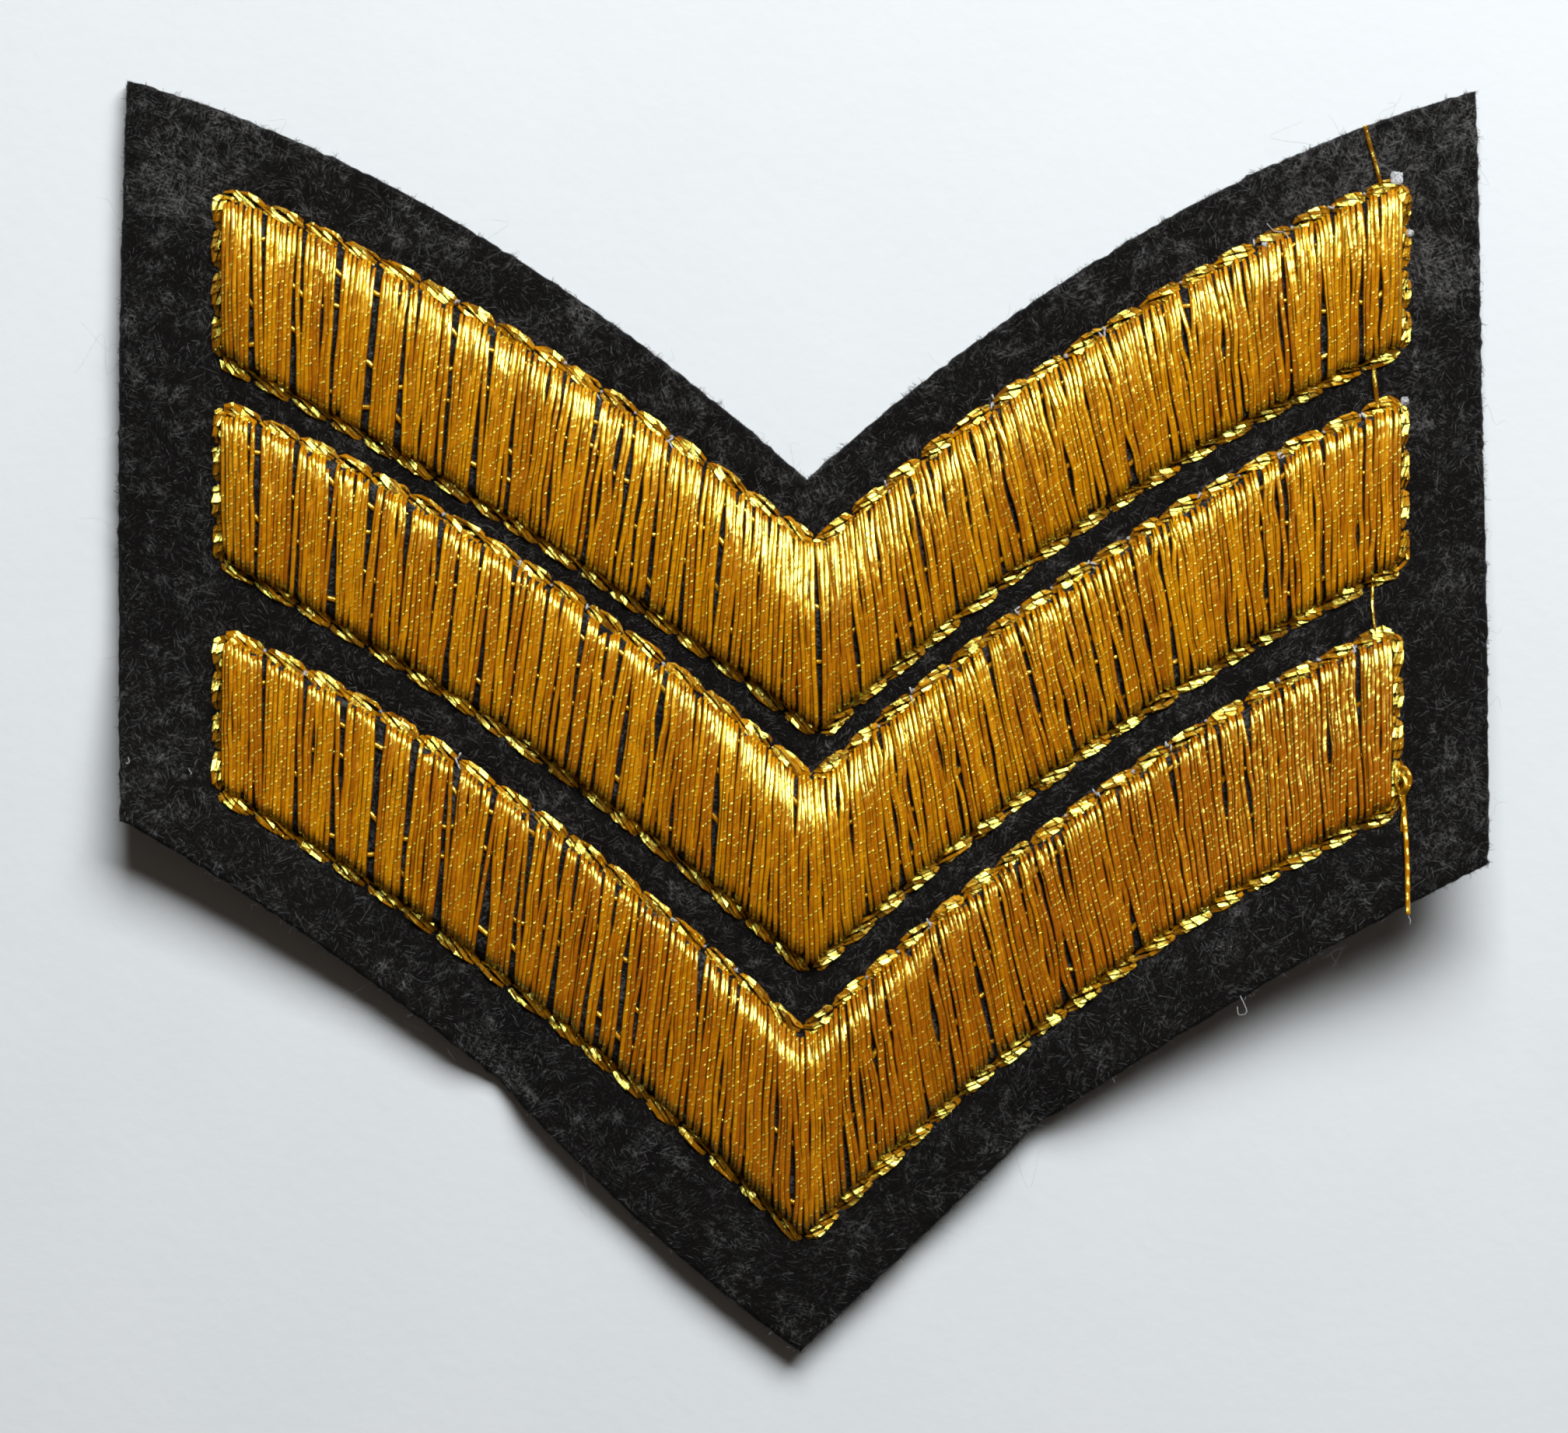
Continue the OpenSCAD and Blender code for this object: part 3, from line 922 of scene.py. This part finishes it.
# The lower bars are flatter and fall more steeply at the end
FLATTER = {"top": 0, "middle": 0.85, "bottom": 1}
FLAT_END = 0.76
FLAT_NEAR = 0.13
CREST = {"top": 0, "middle": 0.25, "bottom": 0.6}
POINT_SLOPE_FROM = {"top": 0.49, "middle": 0.74, "bottom": 0.68}
POINT_X = [2, 10]
# The satin rises more steeply from its lower edge
CROWN = 0.42
CROWN_POWER = 32
# The surface's swells, and how far each thread turns about itself along its length
SWELL = 0.015
THREAD_ROLL = 0.12
THREAD_TWIST = 0.13
# The lower bars' threads get painted shade, a lower tone that makes them darker, to the right most
# of all
PAINTED_SHADE_X = [-30, 0, 30, 38]
PAINTED_SHADE = {"top": [0] * 4, "middle": [0.05, 0.1, 0.1, 0.1], "bottom": [0.1, 0.5, 0.6, 1.2]}
# Extra height where the threads are longest
POINT_RISE = 0.22
POINT_REACH = 7
# Gaps that open between neighbours: how many a thread along the bar, and their sizes
PARTINGS_X = [-38, -15, -2, 39]
PARTINGS = [0.4, 0.6, 1.3, 1.8]
PARTING_WIDE = [0.1, 0.3]
PARTING_REACH = [0.1, 0.45]
# Threads under a bar's end threads: their shares of its height, and how they stand
WALL = [0.2, 0.4, 0.6, 0.8]
WALL_OUT = 0.09
WALL_WIDE = 0.27
WALL_TONE = 0.4
# The threads' places keep this far inside the ends of the bar
KEEP_IN = 0.05
# The pad, and how far it lies under the satin and reaches into the felt
PAD_INSET = SATIN_INSET + 0.15
PAD_UNDER = 0.3
PAD_ROOT = 0.3
PAD_FLUFF = 1.3

swells = waves(15, 2, 5)


def dome(u):
    power = 2.5
    return np.maximum(0, 1 - np.abs(u) ** power) ** (1 / power)


def satin_height(which, x, u):
    """Height above the felt of a bar's satin, u from -1 at its lower edge to 1 at its upper."""
    left, right = bar_ends(BARS[which])
    d = np.minimum(x - left, right - x) - SATIN_INSET
    end = np.where(d < BAR_END, 0.45 + 0.55 * dome(1 - np.maximum(d, 0) / BAR_END), 1)
    crest = CREST[which]
    u = np.where(u < crest, (u - crest) / (1 + crest), (u - crest) / (1 - crest))
    below = CROWN * u**2 + (1 - CROWN) * np.abs(u) ** CROWN_POWER
    at_end = mix(np.interp(x, FALL_X, FALL_END), FLAT_END, FLATTER[which])
    near = mix(np.interp(x, FALL_X, FALL_NEAR), FLAT_NEAR, FLATTER[which])
    on_arm = at_end * u**FALL_POWER + near * u**4 + (1 - at_end - near) * u**2
    turn = POINT_SLOPE_FROM[which]
    at_point = np.where(u < turn, u**2 / (2 * turn), u - turn / 2) / (1 - turn / 2)
    at_point = mix(at_point, u**FALL_POWER, 0.14)
    above = mix(at_point, on_arm, np.interp(np.abs(x - 1), POINT_X, [0, 1]))
    tall = BAR_H + GAP + POINT_RISE * np.exp(-((x / POINT_REACH) ** 2))
    return tall * end * (1 - np.where(u < 0, below, above))


def gather(x, needles, gaps):
    """Threads between two needle points draw together, and a gap opens at each point."""
    i = np.clip(np.searchsorted(needles, x) - 1, 0, len(needles) - 2)
    a, b = needles[i], needles[i + 1]
    return mix(a + gaps[i] / 2, b - gaps[i + 1] / 2, (x - a) / (b - a))


def partings(middle, v, dice):
    """Sideways shifts of threads that open slender gaps between some neighbours."""
    count = len(middle)
    index = np.arange(count)[:, None]
    shift = np.zeros((count, len(v)))
    for k in range(1, count):
        for _ in range(dice.poisson(np.interp(middle[k], PARTINGS_X, PARTINGS))):
            away = index - k + 0.5
            centre, reach = dice.uniform(-0.05, 1.05), dice.uniform(*PARTING_REACH)
            lens = np.maximum(0, 1 - ((v - centre) / reach) ** 2) ** 2
            wide = mix(*PARTING_WIDE, dice.uniform() ** 1.8)
            shift += np.sign(away) * np.exp(-np.abs(away) / 2.5) * wide / 2 * lens
    return shift


def satin(name, which, needle_x, seed):
    """The satin threads of a bar, side by side from its lower to its upper edge."""
    bar = BARS[which]
    dice = np.random.default_rng(seed)
    left, right = bar_ends(bar, SATIN_INSET)
    places = [left + THREAD_W / 2]
    while places[-1] < right - THREAD_W / 2:
        pitch = np.interp(places[-1], PITCH_X, PITCH)
        places.append(places[-1] + pitch * (1 + 0.1 * dice.normal()))
    middle = np.array(places[:-1])
    count = len(middle)
    tall = soft_y(bar[UPPER], middle) - soft_y(bar[LOWER], middle)
    lean = np.radians(np.interp(middle, LEAN_X, LEAN) + dice.normal(0, 0.35, count))
    ends = []
    for side, sign in ((LOWER, 1), (UPPER, -1)):
        x = middle + sign * np.tan(lean) * tall / 2
        x = np.clip(x, left + KEEP_IN, right - KEEP_IN)
        points = np.concatenate([[left - 0.2], needle_x[side], [right + 0.2]])
        gaps = np.interp(points, GAP_X, GAP_WIDE) * dice.uniform(0.5, 1.4, len(points))
        gaps[[0, -1]] = 0
        x = gather(x, points, gaps) + dice.normal(0, 0.015, count)
        x = np.clip(x, left + KEEP_IN, right - KEEP_IN)
        cut = rounding(np.minimum(x - left, right - x), BAR_CORNER)
        short = np.abs(dice.normal(0, 0.16, count)) - 0.06
        y = inset_y(bar, side, x, SATIN_INSET) + sign * (cut + short)
        ends.append(np.stack([x, y], -1))
    rings = 26
    v = (1 - np.cos(np.linspace(0, math.pi, rings))) / 2
    flat = mix(ends[0][:, None], ends[1][:, None], v[None, :, None])
    x, y = flat[..., 0], flat[..., 1]
    u = 2 * v - 1
    arch = np.sin(math.pi * v)
    each = (count, 1)
    sway = dice.normal(0, 0.02, each) * arch
    x = np.clip(x + sway + partings(middle, v, dice), left + 0.02, right - 0.02)
    up = dice.uniform(-0.04, 0.04, each) * arch
    up = up + dice.normal(0, 0.035, each) * np.sin(math.pi * (4 * v + 0.5)) * (v > 0.4)
    up = up + SWELL * swells(x, y) * arch
    z = felt_top(x, y) + satin_height(which, x, u) - THREAD_T / 2 + up
    paths = np.stack([x, y, z], -1)
    narrower = 1 - 0.3 * np.abs(u) ** 8
    wide = THREAD_W * narrower * dice.uniform(0.9, 1.08, each)
    thick = THREAD_T * narrower
    along = (y - WRAP_SLOPE * x) / WRAP + dice.normal(0, 0.09, each)
    turns = dice.uniform(1, 3.5, each) * v + dice.uniform(0, 1, each)
    roll = dice.normal(0, THREAD_ROLL, each) + THREAD_TWIST * np.sin(2 * math.pi * turns)
    # The lower tone on the lower bars is painted shade
    tone = dice.uniform(0, 1, count) - np.interp(middle, PAINTED_SHADE_X, PAINTED_SHADE[which])
    # The end threads continue downwards as a wall of threads on edge
    above = np.repeat([0, count - 1], len(WALL))
    share = np.tile(WALL, 2)[:, None]
    wall = paths[above]
    base = felt_top(wall[..., 0], wall[..., 1])
    depth = wall[..., 2] - base
    wall[..., 2] = base + depth * share
    wall[..., 0] += np.where(above == 0, -WALL_OUT, WALL_OUT)[:, None]
    paths = np.concatenate([paths, wall])
    wide = np.concatenate([wide, WALL_WIDE * depth + 0.05])
    along = np.concatenate([along, along[above] + share])
    tone = np.concatenate([tone, np.full(len(wall), WALL_TONE)])
    roll = np.concatenate([roll, np.full(depth.shape, math.pi / 2)])
    return tube_object(name, paths, wide, thick, 6, gold_satin, tone, along, roll)


def padding(name, which):
    """The dark pad under the satin."""
    bar = BARS[which]
    left, right = bar_ends(bar, PAD_INSET)
    x = np.linspace(left, right, 120)[:, None]
    u = -np.cos(np.linspace(0, math.pi, 17))
    cut = rounding(np.minimum(x - left, right - x), BAR_CORNER)
    y_low = inset_y(bar, LOWER, x, PAD_INSET) + cut
    y_top = inset_y(bar, UPPER, x, PAD_INSET) - cut
    y = mix(y_low, y_top, (1 + u) / 2)
    x = np.broadcast_to(x, y.shape)
    base = felt_top(x, y)
    over = base + np.maximum(satin_height(which, x, u * 0.97) - PAD_UNDER, 0.04)
    crest = np.stack([x, y, over], -1)
    flat = np.stack([x, y, base - PAD_ROOT], -1)[:, -2:0:-1]
    sections = np.concatenate([crest, flat], 1)[None]
    first, last = sections[:, 0].mean(1), sections[:, -1].mean(1)
    points, quads, tris = skin(sections, first, last)
    return build(name, points, quads, tris, felt_cloth, tone=np.full(len(points), PAD_FLUFF))


# A rung has the columns share of the bar's height and phase of its waves
RUNGS = [[0.16, 0], [0.4, 0.45], [0.63, 0.2], [0.86, 0.7]]
RUNG_INSET = SATIN_INSET + 1.2
RUNG_W = 0.32
RUNG_T = 0.2
# How far a rung lies under the satin, and how much deeper it dips
RUNG_UNDER = 0.22
RUNG_DIP = 0.3


def rungs(name, which, seed):
    """Running threads under the satin, seen where it parts."""
    bar = BARS[which]
    dice = np.random.default_rng(seed)
    x = np.linspace(*bar_ends(bar, RUNG_INSET), 160)
    paths = []
    for middle, phase in RUNGS:
        share = middle + 0.035 * np.sin(x * 0.9 + 7 * phase) + 0.02 * np.sin(x * 2.3 + 5 * phase)
        y = mix(inset_y(bar, LOWER, x, SATIN_INSET), inset_y(bar, UPPER, x, SATIN_INSET), share)
        dip = RUNG_DIP * np.clip(np.sin(math.pi * (x / 4.3 + 3 * phase)), 0, 1)
        z = felt_top(x, y) + satin_height(which, x, 2 * share - 1) - RUNG_UNDER - dip
        paths.append(np.stack([x, y, z], -1))
    paths = np.array(paths)
    along = np.broadcast_to(x / WRAP, paths.shape[:2])
    tone = dice.uniform(0.7, 1, len(paths))
    return tube_object(name, paths, RUNG_W, RUNG_T, 6, gold_edge, tone, along)


# Loose threads

LOOSE_T = 0.11
# Each has the columns width, tone and knots, and a knot the columns x, y and height above
# the felt
LOOSE = [
    [0.28, 0.1, [[36.3, 37.9, 0.1], [36.6, 36.7, 0.12], [36.95, 35.6, 0.16], [37.3, 34.1, 0.35]]],
    [0.32, 0.1, [[37.2, 23.9, 0.3], [36.95, 22.6, 0.14], [36.95, 21.4, 0.12], [37.15, 19.7, 0.35]]],
    [0.22, 0.1, [[36.8, 9.3, 0.3], [36.75, 7.9, 0.12], [36.75, 6.8, 0.12], [36.9, 5.2, 0.35]]],
    [0.32, 1, [[38.4, -4.9, 0.4], [38.5, -6.2, 0.2], [38.6, -9.4, 0.16], [38.6, -12.6, 0.14]]],
    [0.2, 0.4, [[38.25, -5.2, 0.4], [38.4, -6, 0.3], [38.35, -6.9, 0.1], [38.3, -7.4, 0.02]]],
    [0.32, 0.8, [[38, -3.4, 0.5], [38.55, -3.4, 0.7], [38.85, -4.2, 0.6], [38.5, -5.1, 0.4]]],
    [0.28, 0.5, [[38, -3.4, 0.6], [37.95, -4.1, 0.7], [38.1, -4.7, 0.55], [38.35, -5.1, 0.35]]],
    [0.3, 0.9, [[38.2, -3.7, 0.6], [38.55, -4.1, 0.8], [38.5, -4.7, 0.75], [38.2, -5.1, 0.45]]],
]
# A knot of bobbin thread has the columns x, y, size and number of strands
KNOTS = [
    [38.35, 34.5, 0.46, 60],
    [35.4, 33.1, 0.3, 30],
    [29.9, 30.3, 0.25, 24],
    [39.2, 31, 0.28, 24],
    [38.9, 20.2, 0.28, 30],
]
HAIR_W = 0.035
HAIR_TONE = 0.8
HAIRS = [
    [[30, 31.6, 0.3], [30.5, 31.1, 0.45], [31.2, 31, 0.4], [31.5, 30.2, 0.3]],
    [[38.6, -12.5, 0.15], [38.65, -12.8, 0.1], [38.75, -13, 0.1], [38.7, -13.3, 0]],
    [[28.1, -17.9, 0.1], [28.5, -18.9, 0.1], [28, -19.1, 0.05], [27.9, -18.6, 0.1]],
    [[-43, -2.7, 0.1], [-42.9, -2.95, 0.15], [-43.05, -3.1, 0.1], [-43.1, -3, 0.1]],
    [[-39.2, -3.4, 0.1], [-39.1, -3.6, 0.16], [-39, -3.7, 0.12], [-39.1, -3.8, 0.1]],
]


def smooth(knots, rings):
    """A soft path through the knots, from their x, y and height above the felt."""
    k = np.array(knots, float)
    k = np.concatenate([2 * k[:1] - k[1:2], k, 2 * k[-1:] - k[-2:-1]])
    t = np.linspace(0, len(knots) - 1.000001, rings)
    i = t.astype(int)
    f = (t - i)[:, None]
    a, b, c, d = k[i], k[i + 1], k[i + 2], k[i + 3]
    path = b + 0.5 * f * (c - a + f * (2 * a - 5 * b + 4 * c - d + f * (3 * (b - c) + d - a)))
    path[:, 2] += felt_skin(path[:, 0], path[:, 1])
    return path


def loose_threads(name, seed):
    """The jump threads, and the loop and tail at the right end of the bottom bar."""
    dice = np.random.default_rng(seed)
    rings = 44
    t = np.linspace(0, 1, rings)
    paths = np.array([smooth(knots, rings) for _, _, knots in LOOSE])
    wide, tone = (np.array([[row[column]] for row in LOOSE]) for column in (0, 1))
    turns = dice.uniform(0.6, 1.6, wide.shape)
    roll = 0.35 * np.sin(2 * math.pi * (turns * t + dice.uniform(0, 1, wide.shape)))
    along = run_length(paths) / WRAP
    paths[..., 2] += 0.06 * tone * np.sin(math.pi * along)
    return tube_object(name, paths, wide, LOOSE_T, 6, gold_edge, tone, along, roll)


def knots_of_bobbin(name, spots, seed):
    """Tangled ends of bobbin thread where the stitches pull them up."""
    dice = np.random.default_rng(seed)
    t = np.linspace(0, 1, 6)
    spots = np.array(spots, float)
    strands = spots[:, 3].astype(int)
    # The first strands of a knot are its thick core
    core = 3
    which = np.repeat(np.arange(len(spots)), strands + core)
    inside = np.concatenate([np.arange(n + core) < core for n in strands])[:, None]
    x, y, size = spots[which, :3].T[..., None]
    each = size.shape

    def curl(reach):
        phase, speed = dice.uniform(0, 1, each), dice.uniform(0.4, 0.9, each)
        start = dice.uniform(-0.5, 0.5, each)
        path = reach * (start + 0.6 * np.sin(2 * math.pi * (speed * t + phase)))
        return np.where(inside, 0.45 * path, 0.85 * path)

    px, py = x + curl(size), y + curl(size)
    pz = felt_skin(px, py) + 0.08 + np.abs(curl(0.7 * size)) + 0.2 * size
    paths = np.stack([px, py, pz], -1)
    wide = np.where(inside, 0.85 * size, 0.05)
    tone = dice.uniform(0.75, 1, each) * np.interp(size, [0.1, 0.45], [0.1, 1])
    return tube_object(name, paths, wide, wide * 0.8, 4, bobbin, tone)


def short_ends(name, spots, seed):
    """Short pale bits of thread that show beside the upper needle points."""
    dice = np.random.default_rng(seed)
    spots = np.repeat(spots, dice.integers(1, 4, len(spots)), axis=0)
    each = (len(spots), 1)
    heading = dice.normal(-1.3, 0.6, each)
    length = dice.uniform(0.2, 0.45, each)
    x = spots[:, :1] + dice.normal(0, 0.13, each)
    y = spots[:, 1:] + dice.normal(-0.15, 0.2, each)
    t = np.linspace(-0.5, 0.5, 4)
    px = x + t * (length * np.cos(heading))
    py = y + t * (length * np.sin(heading))
    arch = 0.2 + 0.1 * (1 - 4 * t**2)
    pz = felt_skin(px, py) + arch + dice.uniform(-0.1, 0.12, each)
    paths = np.stack([px, py, pz], -1)
    return tube_object(name, paths, 0.11, 0.1, 5, bobbin, dice.uniform(0.1, 0.4, each))


def hairs(name):
    """A few long pale hairs."""
    paths = np.array([smooth(knots, 10) for knots in HAIRS])
    return tube_object(name, paths, HAIR_W, HAIR_W, 4, bobbin, np.full(len(HAIRS), HAIR_TONE))


# The pieces of each bar, and the loose threads

# The bobbin thread is pulled up at some upper needle points, most often towards the right
PULLED_X = [-30, -10]
PULLED = [0.15, 0.75]
CLEAR_X = 4
TUFT_STRANDS = 8

pulled = list(KNOTS)
pick = np.random.default_rng(44)
for number, (which, bar) in enumerate(BARS.items()):
    needles, at = border_needles(bar, 50 + number)
    spots = at(needles[:-1])
    x, y = spots.T
    left, right = bar_ends(bar, 1)
    inner = (x > left) & (x < right)
    high = y > (soft_y(bar[UPPER], x) + soft_y(bar[LOWER], x)) / 2
    needle_x = {UPPER: np.sort(x[inner & high]), LOWER: np.sort(x[inner & ~high])}
    for x, y in spots[inner & high]:
        if abs(x) > CLEAR_X and pick.uniform() < np.interp(x, PULLED_X, PULLED):
            y = y + pick.normal(0.1, 0.12)
            pulled.append([x, y, pick.uniform(0.07, 0.16), TUFT_STRANDS])
    ride(satin(f"satin_{which}", which, needle_x, 60 + number), "gold_satin", f"bar_{which}")
    pad = ride(padding(f"padding_{which}", which), "black_felt")
    ride(rungs(f"underlay_{which}", which, 70 + number), "gold_edge")
    stitches = border(f"edge_stitches_{which}", needles, at, 80 + number)
    ride(stitches, "gold_edge", f"border_{which}")

ride(loose_threads("loose_threads", 41), "gold_edge")
ride(knots_of_bobbin("bobbin_knots", pulled, 42), "bobbin_thread")
# Every second pulled place has loose ends beside it
beside = np.array([spot[:2] for spot in pulled[len(KNOTS) :: 2]])
ride(short_ends("bobbin_ends", beside, 43), "bobbin_thread")
ride(hairs("pale_hairs"), "bobbin_thread")

# Floor, light and camera

FLOOR_HALF = 900.0
floor_points = FLOOR_HALF * np.array([[-1, -1, 0], [1, -1, 0], [1, 1, 0], [-1, 1, 0]])
build("floor", floor_points, np.array([[0, 1, 2, 3]]), NO_TRIS, paper)

# The light is a window; its azimuth is from +Y towards +X
azimuth = math.radians(18)
elevation = math.radians(42)
distance = 0.57
light_data = bpy.data.lights.new("key", "AREA")
light_data.shape = "RECTANGLE"
light_data.size = 0.45
light_data.size_y = 0.28
light_data.energy = 5.15
light_data.color = (0.96, 0.98, 0.995)
light = add("key", light_data)
flat = distance * math.cos(elevation)
light.location = [
    flat * math.sin(azimuth),
    flat * math.cos(azimuth),
    distance * math.sin(elevation),
]
light.rotation_euler = (-light.location).to_track_quat("-Z", "Y").to_euler()

world = bpy.data.worlds.new("studio")
world.use_nodes = True
background = world.node_tree.nodes["Background"]
background.inputs["Color"].default_value = (1.0, 0.82, 0.68, 1)
background.inputs["Strength"].default_value = 0.045
scene.world = world

camera_data = bpy.data.cameras.new("camera")
camera_data.lens = 135.7
camera_data.sensor_width = 36.0
camera_data.clip_start = 0.01
camera_data.clip_end = 10
camera = add("camera", camera_data)
camera.location = (-0.001025, -0.000075, 0.3816)
scene.camera = camera
scene.view_settings.view_transform = "Standard"
scene.cycles.filter_width = 2.1
